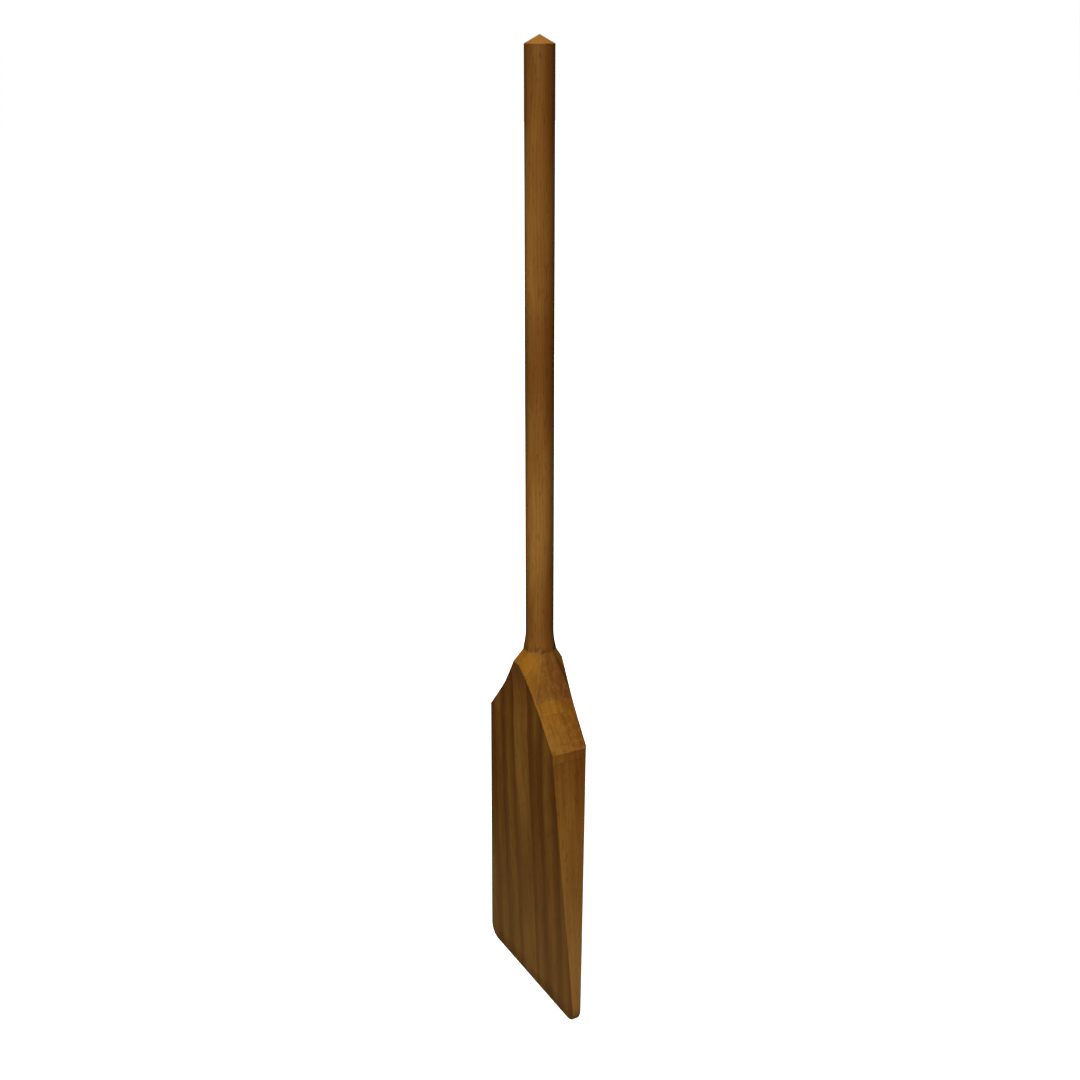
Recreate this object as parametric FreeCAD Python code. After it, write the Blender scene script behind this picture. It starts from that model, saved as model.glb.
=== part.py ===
import FreeCAD, Part
import math
import os

# A short wooden rowing oar, made the way a boat builder glues one up: a loom that runs from the
# handle end to the blade's tip, three strips glued on each side of it to make the blade, and
# blind dowels across every glue joint. The blade is shaped as one block and then divided along
# its glue joints, so the strips always meet face to face.
#
# Frame, in millimetres: +Z runs along the shaft towards the handle end, +X across the blade, and
# -Y out of the blade's front face. The origin is on the shaft's axis, where the oar lies in its
# oarlock.

# ---- lengths along the oar ----
OVERALL_LENGTH = 1374.0
INBOARD_LENGTH = 380.0          # handle end to oarlock
HANDLE_CONE_HEIGHT = 11.2
NECK_FLARE_LENGTH = 30.0        # round shaft swelling into the eight-sided neck
NECK_CHAMFER_HEIGHT = 16.0      # neck turning out to the blade's wide faces
UPPER_SHOULDER_HEIGHT = 46.5    # top of the wide faces to the shoulder's elbow
LOWER_SHOULDER_HEIGHT = 57.5    # elbow to the shoulder's corner
BLADE_LENGTH = 426.0            # shoulder's corner to tip

# ---- loom ----
SHAFT_DIAMETER = 40.0
SPINE_ALLOWANCE = 2.0           # the blank, and so the spine, is this much wider than the shaft each side
NECK_SIDES = 8
FLARE_OVERCUT = 0.3             # the flare ends this far outside the neck's eight corners

# ---- blade outline, across X ----
ELBOW_WIDTH = 94.0
SHOULDER_WIDTH = 194.0
TIP_WIDTH = 273.0
TIP_CORNER_RADIUS = 20.0
EDGE_RADIUS = 2.0               # softened rim of the wide faces

# ---- blade thickness, across Y ----
# Each lean is how far the blade's middle lies in front of the shaft's axis at that level.
FACE_TOP_THICKNESS = 70.0
FACE_TOP_LEAN = 3.0
ELBOW_THICKNESS = 58.2
ELBOW_LEAN = 2.1
SHOULDER_THICKNESS = 55.2
SHOULDER_LEAN = 4.4
TIP_THICKNESS = 11.0
TIP_LEAN = 10.0

# ---- glue joints ----
STRIPS_PER_SIDE = 3
DOWEL_DIAMETER = 8.0
DOWEL_LENGTH = 30.0
DOWEL_END_CHAMFER = 1.0
GLUE_CLEARANCE = 0.05           # between a dowel and its hole, on the radius
DOWEL_END_GAP = 1.0             # between a dowel's end and the bottom of its hole
DOWEL_COVER = 3.5               # least wood left around a dowel hole
JOINT_STAGGER = 18.0            # keeps dowels of neighbouring joints out of line
DOWELS_PER_JOINT = (4, 3, 2)    # in the inner, middle and outer joint

# ---- levels along Z that follow from the lengths ----
HANDLE_END_Z = INBOARD_LENGTH
HANDLE_RIM_Z = HANDLE_END_Z - HANDLE_CONE_HEIGHT
TIP_Z = HANDLE_END_Z - OVERALL_LENGTH
CORNER_Z = TIP_Z + BLADE_LENGTH
ELBOW_Z = CORNER_Z + LOWER_SHOULDER_HEIGHT
FACE_TOP_Z = ELBOW_Z + UPPER_SHOULDER_HEIGHT
NECK_Z = FACE_TOP_Z + NECK_CHAMFER_HEIGHT
SHAFT_END_Z = NECK_Z + NECK_FLARE_LENGTH

BLADE_LEVELS = (FACE_TOP_Z, ELBOW_Z, CORNER_Z, TIP_Z)
BLADE_THICKNESSES = (FACE_TOP_THICKNESS, ELBOW_THICKNESS, SHOULDER_THICKNESS, TIP_THICKNESS)
BLADE_LEANS = (FACE_TOP_LEAN, ELBOW_LEAN, SHOULDER_LEAN, TIP_LEAN)

# ---- sizes that follow from the widths ----
SHAFT_RADIUS = SHAFT_DIAMETER / 2
SPINE_HALF_WIDTH = SHAFT_RADIUS + SPINE_ALLOWANCE
NECK_HALF_ANGLE = math.pi / NECK_SIDES
NECK_HALF_FLAT = SPINE_HALF_WIDTH * math.tan(NECK_HALF_ANGLE)
NECK_CORNER_RADIUS = SPINE_HALF_WIDTH / math.cos(NECK_HALF_ANGLE)
STRIP_WIDTH = (TIP_WIDTH / 2 - SPINE_HALF_WIDTH) / STRIPS_PER_SIDE
DOWEL_HOLE_RADIUS = DOWEL_DIAMETER / 2 + GLUE_CLEARANCE
DOWEL_HOLE_LENGTH = DOWEL_LENGTH + 2 * DOWEL_END_GAP

LEFT, RIGHT = -1, 1             # sides along X
FRONT, BACK = -1, 1             # faces along Y
SIDE_NAMES = {LEFT: "left", RIGHT: "right"}
STRIP_NAMES = ("inner", "middle", "outer")
ON_FACE_TOLERANCE = 0.001
SLAB_MARGIN = 1.0                # a cutting slab stands this far clear of the block all round
FULL_TURN = 360
ORIGIN = FreeCAD.Vector(0, 0, 0)
X_AXIS = FreeCAD.Vector(1, 0, 0)
Z_AXIS = FreeCAD.Vector(0, 0, 1)


def between(start, end, share):
    return start + (end - start) * share


def read_off(knots, values, knot):
    """The value at one knot of a line drawn straight from each knot to the next."""
    for i in range(len(knots) - 1):
        share = (knot - knots[i]) / (knots[i + 1] - knots[i])
        if share <= 1:
            break
    return between(values[i], values[i + 1], share)


def thickness_at(z):
    return read_off(BLADE_LEVELS, BLADE_THICKNESSES, z)


def middle_y_at(z):
    return -read_off(BLADE_LEVELS, BLADE_LEANS, z)


def face_y_at(face, z):
    return middle_y_at(z) + face * thickness_at(z) / 2


def flat_face(*corners):
    return Part.Face(Part.makePolygon([*corners, corners[0]]))


# ---- the blade as one block ----
def neck_beside(side, face):
    """Corner of the eight-sided neck at the side of the loom."""
    return FreeCAD.Vector(side * SPINE_HALF_WIDTH, face * NECK_HALF_FLAT, NECK_Z)


def neck_before(side, face):
    """Corner of the eight-sided neck at the front or back of the loom."""
    return FreeCAD.Vector(side * NECK_HALF_FLAT, face * SPINE_HALF_WIDTH, NECK_Z)


def outline(side, face):
    """Top, elbow, shoulder and tip corners of one half of a wide face."""
    half_widths = (NECK_HALF_FLAT, ELBOW_WIDTH / 2, SHOULDER_WIDTH / 2, TIP_WIDTH / 2)
    corners = zip(half_widths, BLADE_LEVELS)
    return [FreeCAD.Vector(side * half_width, face_y_at(face, z), z) for half_width, z in corners]


def neck_top():
    corners = []
    for side, face in ((RIGHT, BACK), (LEFT, BACK), (LEFT, FRONT), (RIGHT, FRONT)):
        pair = [neck_beside(side, face), neck_before(side, face)]
        corners += pair if side == face else pair[::-1]
    return flat_face(*corners)


def neck_chamfer(face):
    """The face that turns out from the neck to the top of a wide face."""
    left_top = outline(LEFT, face)[0]
    right_top = outline(RIGHT, face)[0]
    return flat_face(neck_before(LEFT, face), neck_before(RIGHT, face), right_top, left_top)


def corner_facets(side, face):
    """The two facets that carry a slanting side of the neck down to the shoulder."""
    top, elbow = outline(side, face)[:2]
    beside = neck_beside(side, face)
    before = neck_before(side, face)
    return [flat_face(beside, before, elbow), flat_face(before, top, elbow)]


def wide_faces(face):
    """The throat, shoulder and blade panels of the front or the back."""
    left = outline(LEFT, face)
    right = outline(RIGHT, face)
    steps = range(len(left) - 1)
    return [flat_face(left[i], right[i], right[i + 1], left[i + 1]) for i in steps]


def narrow_faces(side):
    """Upper shoulder, lower shoulder and long edge of one side of the blade."""
    front = [neck_beside(side, FRONT)] + outline(side, FRONT)[1:]
    back = [neck_beside(side, BACK)] + outline(side, BACK)[1:]
    steps = range(len(front) - 1)
    return [flat_face(front[i], front[i + 1], back[i + 1], back[i]) for i in steps]


def tip_face():
    left_front, right_front = (outline(side, FRONT)[-1] for side in (LEFT, RIGHT))
    left_back, right_back = (outline(side, BACK)[-1] for side in (LEFT, RIGHT))
    return flat_face(left_front, right_front, right_back, left_back)


def is_tip_corner(edge):
    """True for the two short edges through the blade's thickness at the ends of the tip."""
    ends = [vertex.Point for vertex in edge.Vertexes]
    through_thickness = abs(ends[0].x - ends[1].x) < ON_FACE_TOLERANCE
    at_tip = all(abs(end.z - TIP_Z) < ON_FACE_TOLERANCE for end in ends)
    return through_thickness and at_tip


def is_blade_rim(edge):
    """True for the edges of the wide faces from the shoulders' corners down and round the tip."""
    first, last = edge.ParameterRange
    points = [edge.valueAt(between(first, last, share)) for share in (0, 0.5, 1)]
    below_shoulders = max(point.z for point in points) < CORNER_Z + ON_FACE_TOLERANCE
    across_shoulders = min(point.z for point in points) > CORNER_Z - ON_FACE_TOLERANCE
    on_wide_face = any(
        all(abs(point.y - face_y_at(face, point.z)) < ON_FACE_TOLERANCE for point in points)
        for face in (FRONT, BACK)
    )
    return below_shoulders and on_wide_face and not across_shoulders


def blade_block():
    faces = [neck_top(), tip_face()]
    for face in (FRONT, BACK):
        faces += wide_faces(face) + [neck_chamfer(face)]
        for side in (LEFT, RIGHT):
            faces += corner_facets(side, face)
    for side in (LEFT, RIGHT):
        faces += narrow_faces(side)
    block = Part.Solid(Part.Shell(faces))
    block = block.makeFillet(TIP_CORNER_RADIUS, [edge for edge in block.Edges if is_tip_corner(edge)])
    return block.makeFillet(EDGE_RADIUS, [edge for edge in block.Edges if is_blade_rim(edge)])


# ---- glue joints and dowels ----
def joint_x(joint):
    """Distance from the middle of the blade to a glue joint, counted outwards from the spine."""
    return SPINE_HALF_WIDTH + joint * STRIP_WIDTH


def level_of_half_width(half_width):
    """The highest level at which the blade reaches this far out from its middle."""
    half_widths = (SPINE_HALF_WIDTH, ELBOW_WIDTH / 2, SHOULDER_WIDTH / 2, TIP_WIDTH / 2)
    return read_off(half_widths, (NECK_Z, ELBOW_Z, CORNER_Z, TIP_Z), half_width)


def level_of_thickness(thickness):
    share = (SHOULDER_THICKNESS - thickness) / (SHOULDER_THICKNESS - TIP_THICKNESS)
    return between(CORNER_Z, TIP_Z, share)


def dowel_levels(joint):
    """Levels of one joint's dowels, spread over the wood that can hold them."""
    outer_reach = joint_x(joint) + DOWEL_HOLE_LENGTH / 2 + DOWEL_COVER
    top = level_of_half_width(outer_reach) - DOWEL_HOLE_RADIUS - DOWEL_COVER
    bottom = level_of_thickness(DOWEL_DIAMETER + 2 * DOWEL_COVER)
    bottom += JOINT_STAGGER * (joint % 2)
    count = DOWELS_PER_JOINT[joint]
    return [between(top, bottom, i / (count - 1)) for i in range(count)]


def dowel_places(joint):
    """Middle points of one joint's dowels, on both sides of the blade."""
    return [
        FreeCAD.Vector(side * joint_x(joint), middle_y_at(z), z)
        for side in (LEFT, RIGHT)
        for z in dowel_levels(joint)
    ]


def rod(radius, length, middle):
    """A round bar along X about a middle point."""
    return Part.makeCylinder(radius, length, middle - X_AXIS * (length / 2), X_AXIS)


def dowel(middle):
    bar = rod(DOWEL_DIAMETER / 2, DOWEL_LENGTH, middle)
    ends = [edge for edge in bar.Edges if len(edge.Vertexes) == 1]
    return bar.makeChamfer(DOWEL_END_CHAMFER, ends)


def dowel_holes():
    places = [place for joint in range(STRIPS_PER_SIDE) for place in dowel_places(joint)]
    return [rod(DOWEL_HOLE_RADIUS, DOWEL_HOLE_LENGTH, place) for place in places]


def joint_dowels(joint):
    return Part.makeCompound([dowel(place) for place in dowel_places(joint)])


# ---- dividing the block ----
def slab(low_x, high_x, block):
    """The part of the block between two planes across X."""
    box = block.BoundBox
    depth = box.YLength + 2 * SLAB_MARGIN
    height = box.ZLength + 2 * SLAB_MARGIN
    corner = FreeCAD.Vector(low_x, box.YMin - SLAB_MARGIN, box.ZMin - SLAB_MARGIN)
    return block.common(Part.makeBox(high_x - low_x, depth, height, corner))


def blade_strip(side, number, block):
    inner_x = joint_x(number)
    outer_x = joint_x(number + 1)
    low_x, high_x = sorted((side * inner_x, side * outer_x))
    return slab(low_x, high_x, block).cut(dowel_holes())


# ---- loom ----
def flare_point(angle, bend_radius):
    """A point of the flare's hollow curve, which leaves the shaft without a corner."""
    out = SHAFT_RADIUS + bend_radius * (1 - math.cos(angle))
    return FreeCAD.Vector(out, 0, SHAFT_END_Z - bend_radius * math.sin(angle))


def round_loom():
    """Handle cone, shaft and flare, turned about Z."""
    swell = NECK_CORNER_RADIUS + FLARE_OVERCUT - SHAFT_RADIUS
    bend_radius = (NECK_FLARE_LENGTH ** 2 + swell ** 2) / (2 * swell)
    flare_angle = math.asin(NECK_FLARE_LENGTH / bend_radius)
    shaft_end = flare_point(0, bend_radius)
    flare_middle = flare_point(flare_angle / 2, bend_radius)
    flare_end = flare_point(flare_angle, bend_radius)
    flare = Part.Arc(shaft_end, flare_middle, flare_end).toShape()
    neck_middle = FreeCAD.Vector(0, 0, NECK_Z)
    handle_end = FreeCAD.Vector(0, 0, HANDLE_END_Z)
    rim = FreeCAD.Vector(SHAFT_RADIUS, 0, HANDLE_RIM_Z)
    rest = Part.makePolygon([shaft_end, rim, handle_end, neck_middle, flare_end])
    profile = Part.Face(Part.Wire([flare] + rest.Edges))
    return profile.revolve(ORIGIN, Z_AXIS, FULL_TURN)


def loom(block):
    neck_prism = neck_top().extrude(Z_AXIS * (HANDLE_END_Z - NECK_Z))
    shaft = round_loom().common(neck_prism)
    spine = slab(-SPINE_HALF_WIDTH, SPINE_HALF_WIDTH, block)
    return shaft.fuse(spine).removeSplitter().cut(dowel_holes())


def build():
    block = blade_block()
    nodes = {"loom": loom(block)}
    for side in (LEFT, RIGHT):
        for number in range(STRIPS_PER_SIDE):
            name = "blade_strip_" + SIDE_NAMES[side] + "_" + STRIP_NAMES[number]
            nodes[name] = blade_strip(side, number, block)
    for joint in range(STRIPS_PER_SIDE):
        nodes[STRIP_NAMES[joint] + "_joint_dowels"] = joint_dowels(joint)
    return nodes


os.makedirs("parts", exist_ok=True)
for node, shape in build().items():
    shape.exportStep("parts/" + node + ".step")
    print(node, len(shape.Solids), "solids", round(shape.Volume / 1000, 1), "cm3", shape.isValid())
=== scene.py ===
import math

import bmesh
import bpy
import numpy as np
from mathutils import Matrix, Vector, noise


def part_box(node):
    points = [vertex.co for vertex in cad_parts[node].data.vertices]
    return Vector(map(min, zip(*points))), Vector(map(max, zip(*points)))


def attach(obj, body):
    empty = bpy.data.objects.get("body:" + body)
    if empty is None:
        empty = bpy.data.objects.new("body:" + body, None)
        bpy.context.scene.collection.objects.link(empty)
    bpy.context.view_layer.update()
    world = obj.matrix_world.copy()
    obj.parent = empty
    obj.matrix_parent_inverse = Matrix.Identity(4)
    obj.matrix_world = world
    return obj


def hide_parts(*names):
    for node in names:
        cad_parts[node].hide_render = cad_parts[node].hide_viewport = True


# A short wooden rowing oar: a round loom with a pointed butt, and a blade glued up from three
# strips each side of the loom's spine. Every piece is worked from its packed blank: arrises eased,
# faces cleaned up by hand plane, then oiled. The dowels stay as packed, hidden in the glue joints.
# The oar stands on its tip, with Z along the loom, X across the blade and -Y out of its front face.

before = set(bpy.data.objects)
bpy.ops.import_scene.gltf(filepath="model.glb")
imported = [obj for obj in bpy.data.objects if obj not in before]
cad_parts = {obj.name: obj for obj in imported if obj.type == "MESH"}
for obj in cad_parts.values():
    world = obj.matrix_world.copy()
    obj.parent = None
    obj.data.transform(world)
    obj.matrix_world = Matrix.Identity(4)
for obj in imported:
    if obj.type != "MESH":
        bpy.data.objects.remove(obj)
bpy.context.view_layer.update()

MM = 0.001
ACROSS = 0                      # the axis across the blade
ALONG = 2                       # the axis along the oar

# ---- wood working ----
WELD_DISTANCE = 0.002 * MM      # points this close are one point
FLAT_ANGLE = math.radians(0.4)  # faces that bend less than this are one face
ARRIS_ANGLE = math.radians(20)
JOINT_FACE_SQUARENESS = 0.9995
JOINT_FACE_REACH = 0.05 * MM
HOLE_FACET_LENGTH = 3 * MM
ARRIS_EASING = 1.2 * MM
ARRIS_STEPS = 3
ROUND_PROFILE = 0.5
EASING_ROOM = 3 * MM            # an arris this close beside a glue joint is left crisp
GLUE_ARRIS_EASING = 0.12 * MM
GLUE_ARRIS_STEPS = 1
PLANE_PASS_LENGTH = 9 * MM      # spacing of the rows of mesh along the oar
PLANE_PASS_WIDTH = 6 * MM       # and across the blade
PLANE_MARK_DEPTH = 0.16 * MM
PLANE_MARK_LENGTH = 85 * MM
PLANE_MARK_WIDTH = 24 * MM
CRISP_BESIDE_ARRIS = 4 * MM     # plane marks fade out this close to an arris
CLEAR_OUTWARD = 0.5             # a point whose faces add up to less than this isn't planed
CUT_TOLERANCE = 0.001 * MM
FAR_AWAY = 1.0                  # a distance to an edge never comes out as more than this
CRISP_ANGLE = math.radians(40)  # faces that meet at more than this are shaded apart
THROAT_BELOW_NECK = 62.5 * MM
THROAT_REACH = 28 * MM
THROAT_CORE = 22.5 * MM         # wood nearer the middle than this isn't touched by the fairing
FRONT_THROAT_BEND = 0.16        # change of slope where the neck's swelling runs into the blade
BACK_THROAT_BEND = 0.041

STRIP_NODES = [
    f"blade_strip_{side}_{place}"
    for side in ("left", "right")
    for place in ("inner", "middle", "outer")
]
DOWEL_NODES = [f"{place}_joint_dowels" for place in ("inner", "middle", "outer")]

loom_low, loom_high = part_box("loom")
strip_tops = {node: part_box(node)[1].z for node in STRIP_NODES}
neck_z = max(strip_tops.values())
throat_z = neck_z - THROAT_BELOW_NECK
tip_z = loom_low.z
butt_z = loom_high.z
glue_joints = sorted(
    {round(abs(edge.x), 6) for node in STRIP_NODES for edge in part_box(node)}
)[:-1]


# ---- the pieces ----
def is_joint_face(face):
    """True for the flat faces that meet in a glue joint."""
    centre = face.calc_center_median()
    beside_joint = any(abs(abs(centre.x) - joint) < JOINT_FACE_REACH for joint in glue_joints)
    return beside_joint and abs(face.normal.x) > JOINT_FACE_SQUARENESS


def outer_arrises(wood):
    """Sharp edges that are felt from outside, without those of the glue joints and dowel holes."""
    found = []
    for edge in wood.edges:
        if len(edge.link_faces) != 2 or any(is_joint_face(face) for face in edge.link_faces):
            continue
        middle = (edge.verts[0].co + edge.verts[1].co) / 2
        hole_facet = edge.calc_length() < HOLE_FACET_LENGTH and middle.z < neck_z
        if edge.calc_face_angle(0) > ARRIS_ANGLE and not hole_facet:
            found.append(edge)
    return found


def clear_of_joints(edge):
    """True if easing the edge leaves the glue joints beside it alone."""
    out = abs(edge.verts[0].co.x)
    across = abs(edge.verts[1].co.x - edge.verts[0].co.x) > JOINT_FACE_REACH
    return across or all(abs(out - joint) > EASING_ROOM for joint in glue_joints)


def glue_arrises(wood):
    """Edges where a glue joint comes out at the surface, without the rims of the dowel holes."""
    found = []
    for edge in wood.edges:
        on_joint = [is_joint_face(face) for face in edge.link_faces]
        if sum(on_joint) == 1 and edge.calc_length() > HOLE_FACET_LENGTH:
            found.append(edge)
    return found


def ease(wood, edges, width, steps):
    bmesh.ops.bevel(
        wood,
        geom=edges,
        offset=width,
        offset_type="OFFSET",
        segments=steps,
        profile=ROUND_PROFILE,
        affect="EDGES",
        clamp_overlap=False,
    )


def cut_rows(wood, faces, axis, low, high, spacing):
    """Scores the given faces, or all of them, right across at even steps along one axis."""
    steps = max(1, round((high - low) / spacing))
    normal = Vector((0, 0, 0))
    normal[axis] = 1
    for step in range(1, steps):
        point = normal * (low + (high - low) * step / steps)
        live = [face for face in (faces or wood.faces) if face.is_valid]
        edges = dict.fromkeys(edge for face in live for edge in face.edges)
        corners = dict.fromkeys(vertex for face in live for vertex in face.verts)
        cut = bmesh.ops.bisect_plane(
            wood,
            geom=[*corners, *edges, *live],
            dist=CUT_TOLERANCE,
            plane_co=point,
            plane_no=normal,
        )
        if faces is not None:
            made = [item for item in cut["geom"] if isinstance(item, bmesh.types.BMFace)]
            faces = list(dict.fromkeys([*live, *made]))


def distance_to_edges(points, edges):
    """Distance from each point to the nearest of the straight edges."""
    nearest = np.full(len(points), FAR_AWAY)
    for start, end in edges:
        along = end - start
        share = np.clip((points - start) @ along / (along @ along), 0, 1)
        foot = start + share[:, None] * along
        nearest = np.minimum(nearest, np.linalg.norm(points - foot, axis=1))
    return nearest


def ends_of(edges):
    return [tuple(np.array(vertex.co) for vertex in edge.verts) for edge in edges]


def plane_marks(wood, from_arris):
    """Takes the faint hollows of a hand plane off the outer faces, never adding any wood."""
    moves = {}
    for vertex in wood.verts:
        if any(is_joint_face(face) for face in vertex.link_faces):
            sides = [face.normal for face in vertex.link_faces if not is_joint_face(face)]
            outward = sum(sides, Vector((0, 0, 0)))
            outward.x = 0
        else:
            outward = vertex.normal.copy()
        if outward.length < CLEAR_OUTWARD:
            continue
        place = Vector((
            vertex.co.x / PLANE_MARK_WIDTH,
            vertex.co.y / PLANE_MARK_WIDTH,
            vertex.co.z / PLANE_MARK_LENGTH,
        ))
        clear_of_arris = min(1.0, from_arris[vertex.index] / CRISP_BESIDE_ARRIS)
        hollow = (1 + noise.noise(place)) / 2
        depth = PLANE_MARK_DEPTH * clear_of_arris * hollow
        moves[vertex] = outward.normalized() * -depth
    for vertex, move in moves.items():
        vertex.co += move


def fair_throat(wood):
    """Planes the bend across each wide face, below the neck, into one long hollow."""
    for vertex in wood.verts:
        if abs(vertex.co.y) < THROAT_CORE:
            continue
        from_bend = abs(vertex.co.z - throat_z)
        if from_bend < THROAT_REACH:
            bend = FRONT_THROAT_BEND if vertex.co.y < 0 else BACK_THROAT_BEND
            fill = bend * (THROAT_REACH - from_bend) ** 2 / (4 * THROAT_REACH)
            vertex.co.y += math.copysign(fill, vertex.co.y)


def worked_piece(node, name):
    """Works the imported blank, and keeps each point's distance from arrises and glue lines in mm."""
    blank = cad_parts[node].data
    low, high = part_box(node)
    wood = bmesh.new()
    wood.from_mesh(blank)
    bmesh.ops.remove_doubles(wood, verts=wood.verts, dist=WELD_DISTANCE)
    bmesh.ops.dissolve_limit(wood, angle_limit=FLAT_ANGLE, verts=wood.verts, edges=wood.edges)
    wood.normal_update()
    sharp = outer_arrises(wood)
    arris_lines = ends_of(sharp)
    glue_lines = ends_of(glue_arrises(wood))
    ease(wood, [edge for edge in sharp if clear_of_joints(edge)], ARRIS_EASING, ARRIS_STEPS)
    wood.normal_update()
    ease(wood, glue_arrises(wood), GLUE_ARRIS_EASING, GLUE_ARRIS_STEPS)
    wood.normal_update()
    cut_rows(wood, None, ALONG, low.z, high.z, PLANE_PASS_LENGTH)
    wood.normal_update()
    blade_faces = [face for face in wood.faces if face.calc_center_median().z < neck_z]
    cut_rows(wood, blade_faces, ACROSS, low.x, high.x, PLANE_PASS_WIDTH)
    bmesh.ops.dissolve_degenerate(wood, dist=WELD_DISTANCE, edges=wood.edges)
    wood.normal_update()
    wood.verts.index_update()
    points = np.array([vertex.co for vertex in wood.verts])
    from_arris = distance_to_edges(points, arris_lines)
    from_glue = distance_to_edges(points, glue_lines)
    fair_throat(wood)
    plane_marks(wood, from_arris)
    mesh = bpy.data.meshes.new(name)
    wood.to_mesh(mesh)
    wood.free()
    for label, distance in (("from_arris", from_arris), ("from_glue", from_glue)):
        attribute = mesh.attributes.new(label, "FLOAT", "POINT")
        attribute.data.foreach_set("value", distance / MM)
    mesh.polygons.foreach_set("use_smooth", [True] * len(mesh.polygons))
    mesh.set_sharp_from_angle(angle=CRISP_ANGLE)
    piece = bpy.data.objects.new(name, mesh)
    bpy.context.scene.collection.objects.link(piece)
    smoothed = piece.modifiers.new("even_faces", "WEIGHTED_NORMAL")
    smoothed.keep_sharp = True
    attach(piece, "root")
    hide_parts(node)
    return piece


# ---- shader helpers ----
NUMBER = "NodeSocketFloat"
PLACE = "NodeSocketVector"
COLOUR = "NodeSocketColor"
SHARE_SLOT, FIRST_COLOUR_SLOT, SECOND_COLOUR_SLOT = 0, 6, 7
FIRST_NUMBER_SLOT, SECOND_NUMBER_SLOT = 2, 3
MIXED_COLOUR_SLOT = 2
NOISE_MIDDLE = 0.5


def add_node(tree, kind, **settings):
    node = tree.nodes.new(kind)
    for name, value in settings.items():
        setattr(node, name, value)
    return node


def connect(tree, value, socket):
    """Links a socket, or sets its value."""
    if isinstance(value, bpy.types.NodeSocket):
        tree.links.new(value, socket)
    else:
        socket.default_value = value


def feed(tree, node, **inputs):
    """Connects a node's inputs by name, with _ for a space."""
    for name, value in inputs.items():
        connect(tree, value, node.inputs[name.replace("_", " ")])
    return node


def maths(tree, operation, *values):
    node = add_node(tree, "ShaderNodeMath", operation=operation)
    for socket, value in zip(node.inputs, values):
        connect(tree, value, socket)
    return node.outputs[0]


def times(tree, first, *others):
    for other in others:
        first = maths(tree, "MULTIPLY", first, other)
    return first


def add_share(tree, base, value, share):
    """base with a share of value added."""
    return maths(tree, "MULTIPLY_ADD", value, share, base)


def vector_maths(tree, operation, first, second):
    node = add_node(tree, "ShaderNodeVectorMath", operation=operation)
    connect(tree, first, node.inputs[0])
    connect(tree, second, node.inputs["Scale" if operation == "SCALE" else 1])
    return node.outputs["Vector"]


def split(tree, vector):
    """The X, Y and Z of a vector, by name."""
    node = add_node(tree, "ShaderNodeSeparateXYZ")
    connect(tree, vector, node.inputs[0])
    return node.outputs


def ramp(tree, value, low, high, low_out=0.0, high_out=1.0):
    """A smooth step from low_out to high_out as value goes from low to high."""
    node = add_node(tree, "ShaderNodeMapRange", interpolation_type="SMOOTHSTEP")
    feed(tree, node, Value=value, From_Min=low, From_Max=high, To_Min=low_out, To_Max=high_out)
    return node.outputs["Result"]


def fade(tree, value, low, high):
    """A smooth step down from one to nothing as value goes from low to high."""
    return ramp(tree, value, low, high, low_out=1.0, high_out=0.0)


def mix_colour(tree, share, first, second, blend="MIX"):
    node = add_node(tree, "ShaderNodeMix", data_type="RGBA", blend_type=blend)
    connect(tree, share, node.inputs[SHARE_SLOT])
    connect(tree, first, node.inputs[FIRST_COLOUR_SLOT])
    connect(tree, second, node.inputs[SECOND_COLOUR_SLOT])
    return node.outputs[MIXED_COLOUR_SLOT]


def shaded(tree, share, ground, shade):
    """The ground colour darkened towards a shade."""
    return mix_colour(tree, share, ground, shade, blend="MULTIPLY")


def mix_number(tree, share, first, second):
    node = add_node(tree, "ShaderNodeMix")
    connect(tree, share, node.inputs[SHARE_SLOT])
    connect(tree, first, node.inputs[FIRST_NUMBER_SLOT])
    connect(tree, second, node.inputs[SECOND_NUMBER_SLOT])
    return node.outputs[0]


def place_on_oar(tree):
    """The place on the oar, in metres."""
    return add_node(tree, "ShaderNodeTexCoord").outputs["Object"]


def place_in_mm(tree):
    return vector_maths(tree, "SCALE", place_on_oar(tree), 1 / MM)


def noise_at(tree, place, repeats, detail, roughness):
    """Noise with its own repeats per mm along X, Y and Z."""
    node = add_node(tree, "ShaderNodeTexNoise")
    scaled = vector_maths(tree, "MULTIPLY", place, repeats)
    feed(tree, node, Vector=scaled, Scale=1.0, Detail=detail, Roughness=roughness)
    return node.outputs


def grain_noise(tree, place, across, along, detail, roughness=0.55):
    """Noise drawn out along the grain, with its repeats per mm across and along it."""
    return noise_at(tree, place, (across, across, along), detail, roughness)["Fac"]


def off_centre(tree, value):
    """Noise moved to lie evenly about nothing."""
    return maths(tree, "SUBTRACT", value, NOISE_MIDDLE)


def new_group(name, inputs, outputs):
    """An empty shader group; its inputs are given with their usual values, its outputs by name."""
    tree = bpy.data.node_groups.new(name, "ShaderNodeTree")
    for label, kind, value in inputs:
        socket = tree.interface.new_socket(label, in_out="INPUT", socket_type=kind)
        socket.default_value = value
    for label, kind in outputs:
        tree.interface.new_socket(label, in_out="OUTPUT", socket_type=kind)
    start = add_node(tree, "NodeGroupInput")
    end = add_node(tree, "NodeGroupOutput")
    return tree, start.outputs, end.inputs


def colour(red, green, blue):
    """A colour given on the 0 to 255 scale, as the shader's linear values."""
    def linear(part):
        part /= 255
        return part / 12.92 if part <= 0.04045 else ((part + 0.055) / 1.055) ** 2.4
    return (linear(red), linear(green), linear(blue), 1.0)


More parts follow.
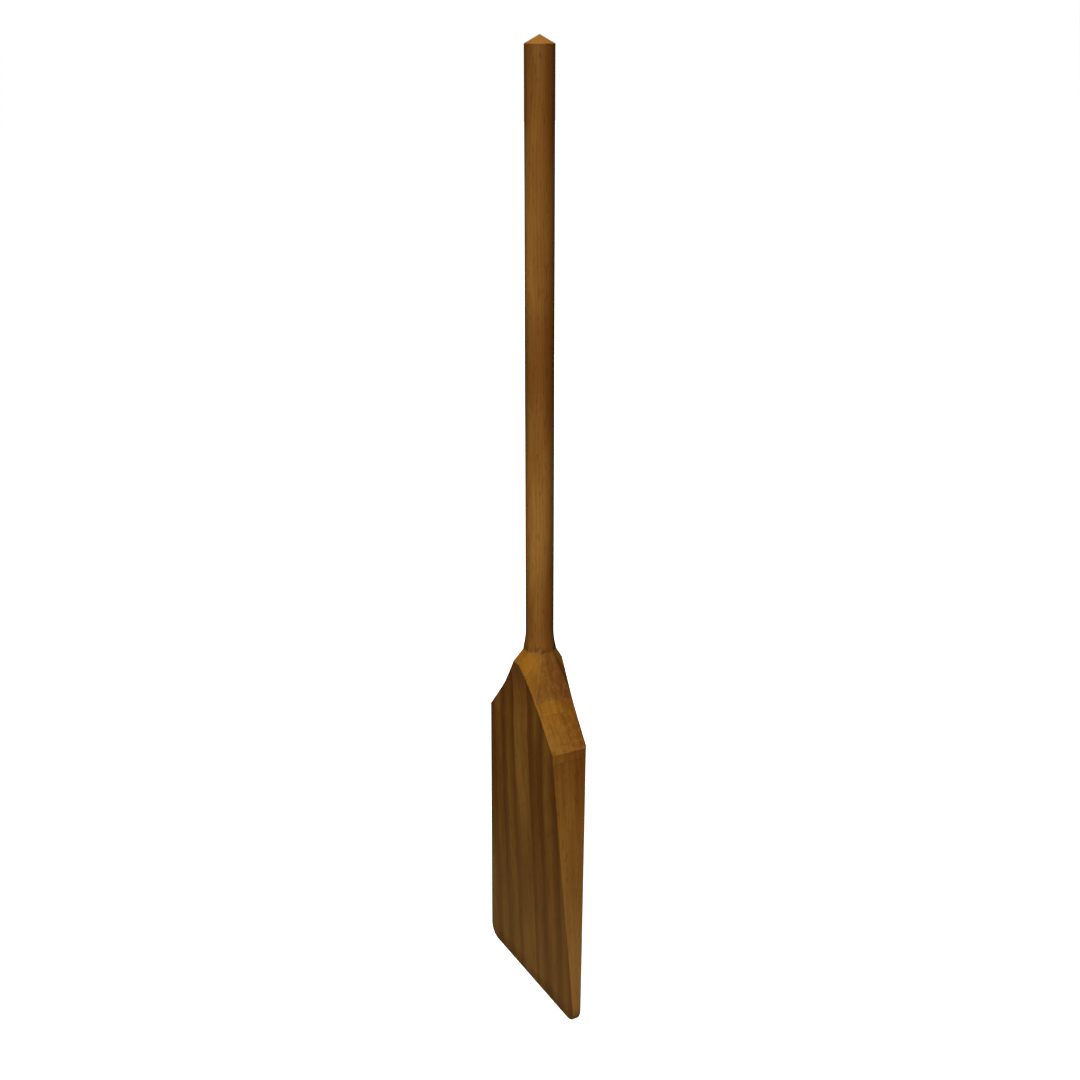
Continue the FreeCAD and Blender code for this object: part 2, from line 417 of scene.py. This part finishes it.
# ---- colours of the wood ----
LOOM_COLOURS = {
    "Light_Wood": colour(164, 116, 50),
    "Dark_Wood": colour(121, 75, 27),
    "Red_Wood": colour(128, 72, 22),
    "End_Tint": (1.0, 0.94, 0.28, 1),
}
BLADE_COLOURS = {
    "Light_Wood": colour(154, 107, 41),
    "Dark_Wood": colour(108, 66, 20),
    "Red_Wood": colour(118, 66, 18),
    "End_Tint": (1.0, 0.93, 0.46, 1),
}
WHITE = (1, 1, 1, 1)
BLEACHED_WOOD = colour(156, 118, 66)
BUTT_END_WOOD = (0.37, 0.155, 0.024, 1)
WORN_WOOD = (0.36, 0.175, 0.04, 1)
LATE_WOOD_SHADE = (0.56, 0.44, 0.34, 1)
STREAK_SHADE = (0.56, 0.46, 0.34, 1)
FIBRE_SHADE = (0.70, 0.62, 0.52, 1)
FLECK_SHADE = (0.62, 0.42, 0.30, 1)
PORE_SHADE = (0.40, 0.30, 0.22, 1)
SOIL_SHADE = (0.62, 0.54, 0.46, 1)
GLUE_SHADE = (0.35, 0.25, 0.18, 1)
DAMP_SHADE = (0.42, 0.36, 0.30, 1)


# ---- how strongly each mark shows, as shares of one ----
FIBRE_DEPTH = 0.3
FLECK_DEPTH = 0.5
PORE_DEPTH = 0.5
BLEACH_DEPTH = 0.34
SOIL_DEPTH = 0.15
WEAR_DEPTH = 0.35
GLUE_DEPTH = 0.7
DAMP_DEPTH = 0.5
GLUE_LINE_SHARE = 0.35
GLUE_BLEED_SHARE = 0.08
END_RING_SHARE = 0.2            # what is left of the rings where the grain runs out
DRIFT_TONE = 0.2
BACK_SHADE_LEFT_OUT = 0.85           # how much less the painted back shade shows on the wide faces
OIL_ROUGHNESS = 0.46


# ---- where the marks lie ----
# Painted shade: the wood darkens and reddens towards the back of the oar, away from the lamp, the same in
# every strip.
BACK_SHADE_START = -14.0             # depth through the oar, in mm, where the painted shade towards the back starts to darken and redden the wood
BACK_SHADE_FULL = 26.0
BACK_SHADE_WANDER = 22.0
RING_UNEVENNESS = 2.2           # in rings
WEAR_RAGGEDNESS = 3.0
RAGGED_EDGE = 50 * MM           # how far the handled, damp and bleached parts run in and out
HANDLED_FROM_BUTT = (260 * MM, 100 * MM)    # below the butt, where it starts and where it is full
DAMP_FROM_TIP = (2 * MM, 30 * MM)           # above the tip, where it is full and where it ends
BLEACH_BELOW_NECK = 150 * MM
SHAFT_RADIUS = 20 * MM
CATHEDRAL_HEIGHT = 154 * MM     # level of the palest part of the loom
CATHEDRAL_LENGTH = 378 * MM     # from one pale part to the next
CATHEDRAL_SIDE = math.radians(-53)
CATHEDRAL_CORE = 0.2            # how far out from the axis it starts, as a share of the radius
CATHEDRAL_DEPTH = 1.6
STREAK_WANDER = 0.6             # of the strip's width


# ---- shader groups ----
def make_timber_figure():
    """Growth rings, fibres, pores, streaks and slow drift of one board, from its place in the tree, and
    painted shade towards the back of the oar.
    """
    tree, given, out = new_group(
        "timber_figure",
        [
            ("Pith Place", PLACE, (0, 0, 0)),
            ("Ring Width", NUMBER, 3.0),
            ("Waver", NUMBER, 6.0),
        ],
        [
            ("Late Wood", NUMBER),
            ("Fibres", NUMBER),
            ("Pores", NUMBER),
            ("Drift", NUMBER),
            ("Flecks", NUMBER),
            ("Streaks", NUMBER),
            # painted shade towards the back of the oar
            ("Heart", NUMBER),
            ("End Grain", NUMBER),
            ("Side Grain", NUMBER),
        ],
    )
    in_mm = place_in_mm(tree)
    place = vector_maths(tree, "SUBTRACT", in_mm, given["Pith Place"])

    bend = noise_at(tree, place, (0.012, 0.012, 0.0045), detail=2.0, roughness=0.5)["Color"]
    centred = vector_maths(tree, "SUBTRACT", bend, (NOISE_MIDDLE, NOISE_MIDDLE, NOISE_MIDDLE))
    wavered = vector_maths(tree, "SCALE", centred, given["Waver"])
    bent = vector_maths(tree, "ADD", place, wavered)

    radius = add_node(tree, "ShaderNodeVectorMath", operation="LENGTH")
    connect(tree, vector_maths(tree, "MULTIPLY", bent, (1, 1, 0)), radius.inputs[0])
    rings = maths(tree, "DIVIDE", radius.outputs["Value"], given["Ring Width"])
    uneven = times(tree, grain_noise(tree, place, across=0.05, along=0.002, detail=2), RING_UNEVENNESS)
    turn = maths(tree, "FRACT", maths(tree, "ADD", rings, uneven))
    late = times(tree, ramp(tree, turn, 0.25, 0.9), fade(tree, turn, 0.93, 1.0))
    connect(tree, late, out["Late Wood"])

    fibres = grain_noise(tree, bent, across=0.9, along=0.03, detail=5, roughness=0.65)
    connect(tree, fibres, out["Fibres"])

    cells = add_node(tree, "ShaderNodeTexVoronoi", feature="F1")
    drawn_out = vector_maths(tree, "MULTIPLY", bent, (0.85, 0.85, 0.1))
    feed(tree, cells, Vector=drawn_out, Scale=1.0, Randomness=1.0)
    dashes = fade(tree, cells.outputs["Distance"], 0.10, 0.26)
    some = ramp(tree, grain_noise(tree, place, across=0.3, along=0.02, detail=2), 0.42, 0.62)
    connect(tree, times(tree, dashes, some), out["Pores"])

    connect(tree, grain_noise(tree, place, across=0.02, along=0.004, detail=2), out["Drift"])

    flecks = ramp(tree, grain_noise(tree, bent, across=0.36, along=0.06, detail=2), 0.58, 0.68)
    connect(tree, flecks, out["Flecks"])

    facing = split(tree, add_node(tree, "ShaderNodeNewGeometry").outputs["Normal"])
    end_grain = ramp(tree, maths(tree, "ABSOLUTE", facing["Z"]), 0.25, 0.55)
    side_grain = ramp(tree, maths(tree, "ABSOLUTE", facing["X"]), 0.6, 0.9)
    connect(tree, end_grain, out["End Grain"])
    connect(tree, side_grain, out["Side Grain"])

    on_face = noise_at(tree, bent, (0.12, 0.012, 0.0022), detail=3, roughness=0.6)["Fac"]
    on_side = noise_at(tree, bent, (0.012, 0.2, 0.0035), detail=3, roughness=0.6)["Fac"]
    streaks = mix_number(tree, maths(tree, "MAXIMUM", end_grain, side_grain), on_face, on_side)
    connect(tree, ramp(tree, streaks, 0.36, 0.62), out["Streaks"])

    # Painted shade: a share that grows towards the back of the oar (+Y), the same in every strip, darkening
    # and reddening the wood there.
    wander = off_centre(tree, grain_noise(tree, place, across=0.03, along=0.006, detail=2))
    into_back_shade = add_share(tree, split(tree, in_mm)["Y"], wander, BACK_SHADE_WANDER)
    connect(tree, ramp(tree, into_back_shade, BACK_SHADE_START, BACK_SHADE_FULL), out["Heart"])
    return tree


def make_pale_streak():
    """The pale streak along the middle of a strip, wandering a little between its darker edges."""
    tree, given, out = new_group(
        "pale_streak",
        [("Low Edge", NUMBER, 0.0), ("High Edge", NUMBER, 1.0)],
        [("Paleness", NUMBER)],
    )
    share = add_node(tree, "ShaderNodeMapRange")
    across = split(tree, place_on_oar(tree))["X"]
    feed(tree, share, Value=across, From_Min=given["Low Edge"], From_Max=given["High Edge"])
    wander = off_centre(tree, grain_noise(tree, place_in_mm(tree), across=0.02, along=0.006, detail=2))
    middle = add_share(tree, 0.5, wander, STREAK_WANDER)
    off_middle = maths(tree, "ABSOLUTE", maths(tree, "SUBTRACT", share.outputs["Result"], middle))
    connect(tree, fade(tree, off_middle, 0.04, 0.40), out["Paleness"])
    return tree


def make_cathedral():
    """Pale cathedral figure that comes and goes along the loom, on its two flat-sawn sides."""
    tree, _, out = new_group("cathedral", [], [("Paleness", NUMBER)])
    place = split(tree, place_on_oar(tree))
    swing = maths(tree, "SUBTRACT", place["Z"], CATHEDRAL_HEIGHT)
    wave = maths(tree, "COSINE", times(tree, swing, 2 * math.pi / CATHEDRAL_LENGTH))
    side = times(tree, place["X"], math.cos(CATHEDRAL_SIDE))
    side = add_share(tree, side, place["Y"], math.sin(CATHEDRAL_SIDE))
    facing = ramp(tree, maths(tree, "ABSOLUTE", side), CATHEDRAL_CORE * SHAFT_RADIUS, SHAFT_RADIUS)
    arch = add_share(tree, wave, facing, CATHEDRAL_DEPTH)
    connect(tree, ramp(tree, arch, -0.4, 2.2), out["Paleness"])
    return tree


def make_board_tone():
    """How pale and how red a board is: from its figure, from which way the surface cuts it, and from painted
    shade towards the back.
    """
    tree, given, out = new_group(
        "board_tone",
        [
            ("Paleness", NUMBER, 0.5),
            ("Drift", NUMBER, 0.5),
            # painted shade towards the back of the oar
            ("Heart", NUMBER, 0.0),
            ("End Grain", NUMBER, 0.0),
            ("Side Grain", NUMBER, 0.0),
            ("Tone Depth", NUMBER, 0.5),
            ("Tone Shift", NUMBER, 0.0),
            ("Side Share", NUMBER, 0.0),
            ("Side Tone", NUMBER, 0.0),
            ("End Tone", NUMBER, 0.0),
            ("Heart Depth", NUMBER, 0.0),
            ("Red Depth", NUMBER, 0.3),
        ],
        [("Tone", NUMBER), ("Redness", NUMBER)],
    )
    sideways = maths(tree, "MAXIMUM", given["End Grain"], given["Side Grain"])
    on_face = maths(tree, "SUBTRACT", 1.0, times(tree, sideways, given["Side Share"]))
    tone = add_share(tree, given["Tone Shift"], given["Paleness"], given["Tone Depth"])
    from_side_tone = maths(tree, "SUBTRACT", tone, given["Side Tone"])
    tone = add_share(tree, given["Side Tone"], from_side_tone, on_face)
    tone = add_share(tree, tone, given["End Grain"], given["End Tone"])
    # Painted shade: darker and redder towards the back of the oar, full on the narrow sides and slopes, faint
    # on the wide faces.
    back_shade = times(tree, given["Heart"], add_share(tree, 1.0, on_face, -BACK_SHADE_LEFT_OUT))
    back_shade = times(tree, back_shade, given["Heart Depth"])
    tone = maths(tree, "SUBTRACT", tone, back_shade)
    tone = add_share(tree, tone, ramp(tree, given["Drift"], 0.35, 0.65), DRIFT_TONE)
    connect(tree, tone, out["Tone"])
    red = add_share(tree, back_shade, ramp(tree, given["Drift"], 0.62, 0.40), given["Red Depth"])
    connect(tree, red, out["Redness"])
    return tree


def make_worn_arris():
    """A broken band along the arrises, rubbed by handling, and the soil beside it."""
    tree, given, out = new_group(
        "worn_arris",
        [("Reach", NUMBER, 2.0), ("Unevenness", NUMBER, 1.0)],
        [("Wear", NUMBER), ("Soil", NUMBER)],
    )
    distance = add_node(tree, "ShaderNodeAttribute", attribute_name="from_arris").outputs["Fac"]
    patch = grain_noise(tree, place_in_mm(tree), across=0.22, along=0.07, detail=4, roughness=0.65)
    broken = times(tree, off_centre(tree, patch), given["Unevenness"], WEAR_RAGGEDNESS)
    near = maths(tree, "ADD", maths(tree, "DIVIDE", distance, given["Reach"]), broken)
    connect(tree, fade(tree, near, 0.1, 0.9), out["Wear"])
    connect(tree, fade(tree, near, 1.0, 4.0), out["Soil"])
    return tree


def make_glue_line():
    """The thin dark line where two pieces of the blade are glued, and the faint stain beside it."""
    tree, given, out = new_group("glue_line", [("Width", NUMBER, 0.3)], [("Mark", NUMBER)])
    distance = add_node(tree, "ShaderNodeAttribute", attribute_name="from_glue").outputs["Fac"]
    share = maths(tree, "DIVIDE", distance, given["Width"])
    line = times(tree, fade(tree, share, 0.4, 1.2), GLUE_LINE_SHARE)
    connect(tree, add_share(tree, line, fade(tree, share, 1.0, 9.0), GLUE_BLEED_SHARE), out["Mark"])
    return tree


def make_weathering():
    """Hand polish at the butt, damp and bleaching that creep up from the tip, and small scuffs."""
    tree, _, out = new_group(
        "weathering",
        [],
        [("Handled", NUMBER), ("Damp", NUMBER), ("Bleached", NUMBER), ("Scuffs", NUMBER)],
    )
    in_mm = place_in_mm(tree)
    patch = grain_noise(tree, in_mm, across=0.05, along=0.02, detail=4, roughness=0.6)
    height = add_share(tree, split(tree, place_on_oar(tree))["Z"], off_centre(tree, patch), RAGGED_EDGE)
    handled_start, handled_full = HANDLED_FROM_BUTT
    connect(tree, ramp(tree, height, butt_z - handled_start, butt_z - handled_full), out["Handled"])
    damp_full, damp_end = DAMP_FROM_TIP
    connect(tree, fade(tree, height, tip_z + damp_full, tip_z + damp_end), out["Damp"])
    connect(tree, ramp(tree, height, neck_z - BLEACH_BELOW_NECK, tip_z), out["Bleached"])
    scratch = grain_noise(tree, in_mm, across=0.5, along=0.9, detail=3, roughness=0.5)
    connect(tree, ramp(tree, scratch, 0.62, 0.78), out["Scuffs"])
    return tree


def make_oiled_wood():
    """Brings the figure, the finish and the wear of oiled wood together."""
    tree, given, out = new_group(
        "oiled_wood",
        [
            ("Light Wood", COLOUR, WHITE),
            ("Dark Wood", COLOUR, WHITE),
            ("Red Wood", COLOUR, WHITE),
            ("End Tint", COLOUR, WHITE),
            ("Late Wood", NUMBER, 0.0),
            ("Fibres", NUMBER, 0.5),
            ("Pores", NUMBER, 0.0),
            ("Flecks", NUMBER, 0.0),
            ("Streaks", NUMBER, 0.0),
            ("End Grain", NUMBER, 0.0),
            ("Tone", NUMBER, 0.5),
            ("Redness", NUMBER, 0.0),
            ("Wear", NUMBER, 0.0),
            ("Soil", NUMBER, 0.0),
            ("Glue", NUMBER, 0.0),
            ("Handled", NUMBER, 0.0),
            ("Damp", NUMBER, 0.0),
            ("Bleached", NUMBER, 0.0),
            ("Scuffs", NUMBER, 0.0),
            ("Ring Depth", NUMBER, 0.35),
            ("Streak Depth", NUMBER, 0.3),
            ("Butt Lift", NUMBER, 0.0),
        ],
        [("Colour", COLOUR), ("Roughness", NUMBER), ("Height", NUMBER)],
    )
    along = maths(tree, "SUBTRACT", 1.0, given["End Grain"])
    ring_share = times(tree, given["Late Wood"], given["Ring Depth"])
    ring_share = times(tree, ring_share, add_share(tree, END_RING_SHARE, along, 1 - END_RING_SHARE))
    fibre_share = times(tree, ramp(tree, given["Fibres"], 0.3, 0.7), along, FIBRE_DEPTH)
    butt_share = times(tree, given["End Grain"], times(tree, given["Handled"], given["Butt Lift"]))

    wood = mix_colour(tree, given["Tone"], given["Dark Wood"], given["Light Wood"])
    wood = mix_colour(tree, given["Redness"], wood, given["Red Wood"])
    wood = shaded(tree, ring_share, wood, LATE_WOOD_SHADE)
    wood = shaded(tree, times(tree, given["Streaks"], given["Streak Depth"]), wood, STREAK_SHADE)
    wood = shaded(tree, fibre_share, wood, FIBRE_SHADE)
    wood = shaded(tree, times(tree, given["Flecks"], along, FLECK_DEPTH), wood, FLECK_SHADE)
    wood = shaded(tree, times(tree, given["Pores"], along, PORE_DEPTH), wood, PORE_SHADE)
    wood = mix_colour(tree, times(tree, given["Bleached"], BLEACH_DEPTH), wood, BLEACHED_WOOD)
    wood = shaded(tree, times(tree, given["Soil"], SOIL_DEPTH), wood, SOIL_SHADE)
    wood = shaded(tree, given["End Grain"], wood, given["End Tint"])
    wood = mix_colour(tree, butt_share, wood, BUTT_END_WOOD)
    wood = mix_colour(tree, times(tree, given["Wear"], WEAR_DEPTH), wood, WORN_WOOD)
    wood = shaded(tree, times(tree, given["Glue"], GLUE_DEPTH), wood, GLUE_SHADE)
    wood = shaded(tree, times(tree, given["Damp"], DAMP_DEPTH), wood, DAMP_SHADE)
    connect(tree, wood, out["Colour"])

    rough = add_share(tree, OIL_ROUGHNESS, given["Fibres"], 0.16)
    for mark, share in (
        ("Pores", 0.15),
        ("Wear", 0.12),
        ("Damp", 0.2),
        ("End Grain", 0.32),
        ("Handled", -0.10),
        ("Scuffs", 0.08),
    ):
        rough = add_share(tree, rough, given[mark], share)
    connect(tree, rough, out["Roughness"])

    height = times(tree, given["Fibres"], along, 0.35)
    height = add_share(tree, height, times(tree, given["Late Wood"], along), 0.25)
    height = add_share(tree, height, times(tree, given["Pores"], along), -0.8)
    height = add_share(tree, height, given["Glue"], -0.6)
    connect(tree, height, out["Height"])
    return tree


GROUPS = {
    group.name: group
    for group in (
        make_timber_figure(),
        make_pale_streak(),
        make_cathedral(),
        make_board_tone(),
        make_worn_arris(),
        make_glue_line(),
        make_weathering(),
        make_oiled_wood(),
    )
}


# ---- materials ----
ARRIS_WEAR_REACH = 1.6          # in mm
GLUE_LINE_WIDTH = 0.22          # in mm
RELIEF_STRENGTH = 0.35
RELIEF_DEPTH = 0.15 * MM
OIL_SHEEN = 0.12


def place_group(tree, name, **inputs):
    node = add_node(tree, "ShaderNodeGroup")
    node.node_tree = GROUPS[name]
    feed(tree, node, **inputs)
    return node.outputs


def wood_material(name, colours, figure, pale_figure, tone, finish, worked=True):
    """Oiled wood. figure, tone and finish are what timber_figure, board_tone and oiled_wood are given.

    pale_figure is the group that makes the board's pale parts, with what it is given. worked is for
    pieces that hold their distance from arrises and glue lines.
    """
    material = bpy.data.materials.new(name)
    material.use_nodes = True
    tree = material.node_tree
    tree.nodes.clear()
    board = place_group(tree, "timber_figure", **figure)
    pale_group, pale_edges = pale_figure
    shade = place_group(
        tree,
        "board_tone",
        Paleness=place_group(tree, pale_group, **pale_edges)["Paleness"],
        Drift=board["Drift"],
        # painted shade towards the back of the oar
        Heart=board["Heart"],
        End_Grain=board["End Grain"],
        Side_Grain=board["Side Grain"],
        **tone,
    )
    weather = place_group(tree, "weathering")
    edge_marks = {}
    if worked:
        arris = place_group(tree, "worn_arris", Reach=ARRIS_WEAR_REACH, Unevenness=1.0)
        glue = place_group(tree, "glue_line", Width=GLUE_LINE_WIDTH)
        edge_marks = {"Wear": arris["Wear"], "Soil": arris["Soil"], "Glue": glue["Mark"]}
    wood = place_group(
        tree,
        "oiled_wood",
        Late_Wood=board["Late Wood"],
        Fibres=board["Fibres"],
        Pores=board["Pores"],
        Flecks=board["Flecks"],
        Streaks=board["Streaks"],
        End_Grain=board["End Grain"],
        Tone=shade["Tone"],
        Redness=shade["Redness"],
        Handled=weather["Handled"],
        Damp=weather["Damp"],
        Bleached=weather["Bleached"],
        Scuffs=weather["Scuffs"],
        **edge_marks,
        **colours,
        **finish,
    )
    relief = add_node(tree, "ShaderNodeBump")
    feed(tree, relief, Height=wood["Height"], Strength=RELIEF_STRENGTH, Distance=RELIEF_DEPTH)
    surface = add_node(tree, "ShaderNodeBsdfPrincipled")
    feed(
        tree,
        surface,
        Base_Color=wood["Colour"],
        Roughness=wood["Roughness"],
        Normal=relief.outputs["Normal"],
        Specular_IOR_Level=OIL_SHEEN,
    )
    output = add_node(tree, "ShaderNodeOutputMaterial")
    connect(tree, surface.outputs[0], output.inputs["Surface"])
    return material


# ---- putting the oar together ----
loom = worked_piece("loom", "shaped_loom")
loom.data.materials.append(
    wood_material(
        "loom_oiled_wood",
        LOOM_COLOURS,
        figure={"Pith_Place": (40, -160, 0), "Ring_Width": 3.4, "Waver": 14.0},
        pale_figure=("cathedral", {}),
        tone={"Tone_Depth": 0.66, "Tone_Shift": 0.06, "End_Tone": 0.45, "Red_Depth": 0.4},
        finish={"Ring_Depth": 0.25, "Streak_Depth": 0.14, "Butt_Lift": 0.8},
    )
)

STRIP_PITHS = {
    "blade_strip_left_inner": (-70, 210, 0),
    "blade_strip_left_middle": (-100, -240, 0),
    "blade_strip_left_outer": (-150, 190, 0),
    "blade_strip_right_inner": (20, -230, 0),
    "blade_strip_right_middle": (95, 250, 0),
    "blade_strip_right_outer": (140, -220, 0),
}
STRIP_TONE = {
    "Tone_Depth": 0.6,
    "Tone_Shift": 0.05,
    "Side_Share": 1.0,
    "Side_Tone": 0.68,
    "End_Tone": 0.12,
    # how deep the painted shade towards the back of the blade goes
    "Heart_Depth": 0.36,
    "Red_Depth": 0.3,
}
for node in STRIP_NODES:
    strip = worked_piece(node, node.replace("blade", "shaped"))
    strip_low, strip_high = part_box(node)
    strip.data.materials.append(
        wood_material(
            f"{node}_oiled_wood",
            BLADE_COLOURS,
            figure={"Pith_Place": STRIP_PITHS[node], "Ring_Width": 3.0, "Waver": 8.0},
            pale_figure=("pale_streak", {"Low_Edge": strip_low.x, "High_Edge": strip_high.x}),
            tone=STRIP_TONE,
            finish={"Ring_Depth": 0.16, "Streak_Depth": 0.42},
        )
    )

dowel_material = wood_material(
    "dowel_beech",
    LOOM_COLOURS,
    figure={"Pith_Place": (6, 9, 0), "Ring_Width": 2.2, "Waver": 2.0},
    pale_figure=("cathedral", {}),
    tone={"Tone_Depth": 0.3, "Tone_Shift": 0.5, "Red_Depth": 0.1},
    finish={"Ring_Depth": 0.2, "Streak_Depth": 0.1},
    worked=False,
)
for node in DOWEL_NODES:
    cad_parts[node].data.materials[0] = dowel_material


# ---- studio ----
CAMERA_AZIMUTH = math.radians(61.86)
CAMERA_PITCH = math.radians(18.43)
CAMERA_DISTANCE = 1.896
CAMERA_SIDESTEP = 0.0005
CAMERA_BELOW_BUTT = 0.0338
CAMERA_LENS = 47.78
SENSOR_WIDTH = 36.0

camera_data = bpy.data.cameras.new("studio_camera")
camera_data.lens = CAMERA_LENS
camera_data.sensor_width = SENSOR_WIDTH
camera = bpy.data.objects.new("studio_camera", camera_data)
bpy.context.scene.collection.objects.link(camera)
toward = Vector((math.sin(CAMERA_AZIMUTH), -math.cos(CAMERA_AZIMUTH), 0))
rightward = Vector((math.cos(CAMERA_AZIMUTH), math.sin(CAMERA_AZIMUTH), 0))
level = Vector((0, 0, butt_z - CAMERA_BELOW_BUTT))
camera.location = toward * CAMERA_DISTANCE + rightward * CAMERA_SIDESTEP + level
camera.rotation_euler = (math.pi / 2 - CAMERA_PITCH, 0, CAMERA_AZIMUTH)
bpy.context.scene.camera = camera


def softbox(name, turn, elevation, strength, softness):
    """A far soft lamp, turned from the camera's side and raised above the horizon."""
    data = bpy.data.lights.new(name, "SUN")
    data.energy = strength
    data.angle = math.radians(softness)
    lamp = bpy.data.objects.new(name, data)
    bpy.context.scene.collection.objects.link(lamp)
    lamp.rotation_euler = (math.pi / 2 - math.radians(elevation), 0, CAMERA_AZIMUTH + math.radians(turn))
    return lamp


softbox("key_lamp", turn=-9, elevation=41, strength=math.pi, softness=10)
back_lamp = softbox("back_lamp", turn=180, elevation=35, strength=2.2, softness=20)
back_lamp.visible_glossy = False

FLOOR_REACH = 30.0
FLOOR_CORNERS = ((-1, -1), (1, -1), (1, 1), (-1, 1))
FLOOR_PAINT = (0.9, 0.9, 0.9, 1)
FLOOR_ROUGHNESS = 0.9
FLOOR_GLOW = 0.9
SURROUND_STRENGTH = 0.03

floor_mesh = bpy.data.meshes.new("studio_floor")
floor_points = [(x * FLOOR_REACH, y * FLOOR_REACH, tip_z) for x, y in FLOOR_CORNERS]
floor_mesh.from_pydata(floor_points, [], [(0, 1, 2, 3)])
floor = bpy.data.objects.new("studio_floor", floor_mesh)
bpy.context.scene.collection.objects.link(floor)
floor.visible_diffuse = False
floor.visible_glossy = False
floor_paint = bpy.data.materials.new("white_floor")
floor_paint.use_nodes = True
feed(
    floor_paint.node_tree,
    floor_paint.node_tree.nodes["Principled BSDF"],
    Base_Color=FLOOR_PAINT,
    Roughness=FLOOR_ROUGHNESS,
    Emission_Color=WHITE,
    Emission_Strength=FLOOR_GLOW,
)
floor_mesh.materials.append(floor_paint)

world = bpy.data.worlds.new("studio_surround")
bpy.context.scene.world = world
world.use_nodes = True
sky = world.node_tree
sky.nodes.clear()
path = add_node(sky, "ShaderNodeLightPath")
ambient = feed(sky, add_node(sky, "ShaderNodeBackground"), Color=WHITE, Strength=SURROUND_STRENGTH)
seen = feed(sky, add_node(sky, "ShaderNodeBackground"), Color=WHITE)
blend = add_node(sky, "ShaderNodeMixShader")
for source, socket in zip((path.outputs["Is Camera Ray"], ambient.outputs[0], seen.outputs[0]), blend.inputs):
    connect(sky, source, socket)
surround = add_node(sky, "ShaderNodeOutputWorld")
connect(sky, blend.outputs[0], surround.inputs["Surface"])

bpy.context.scene.view_settings.view_transform = "Standard"
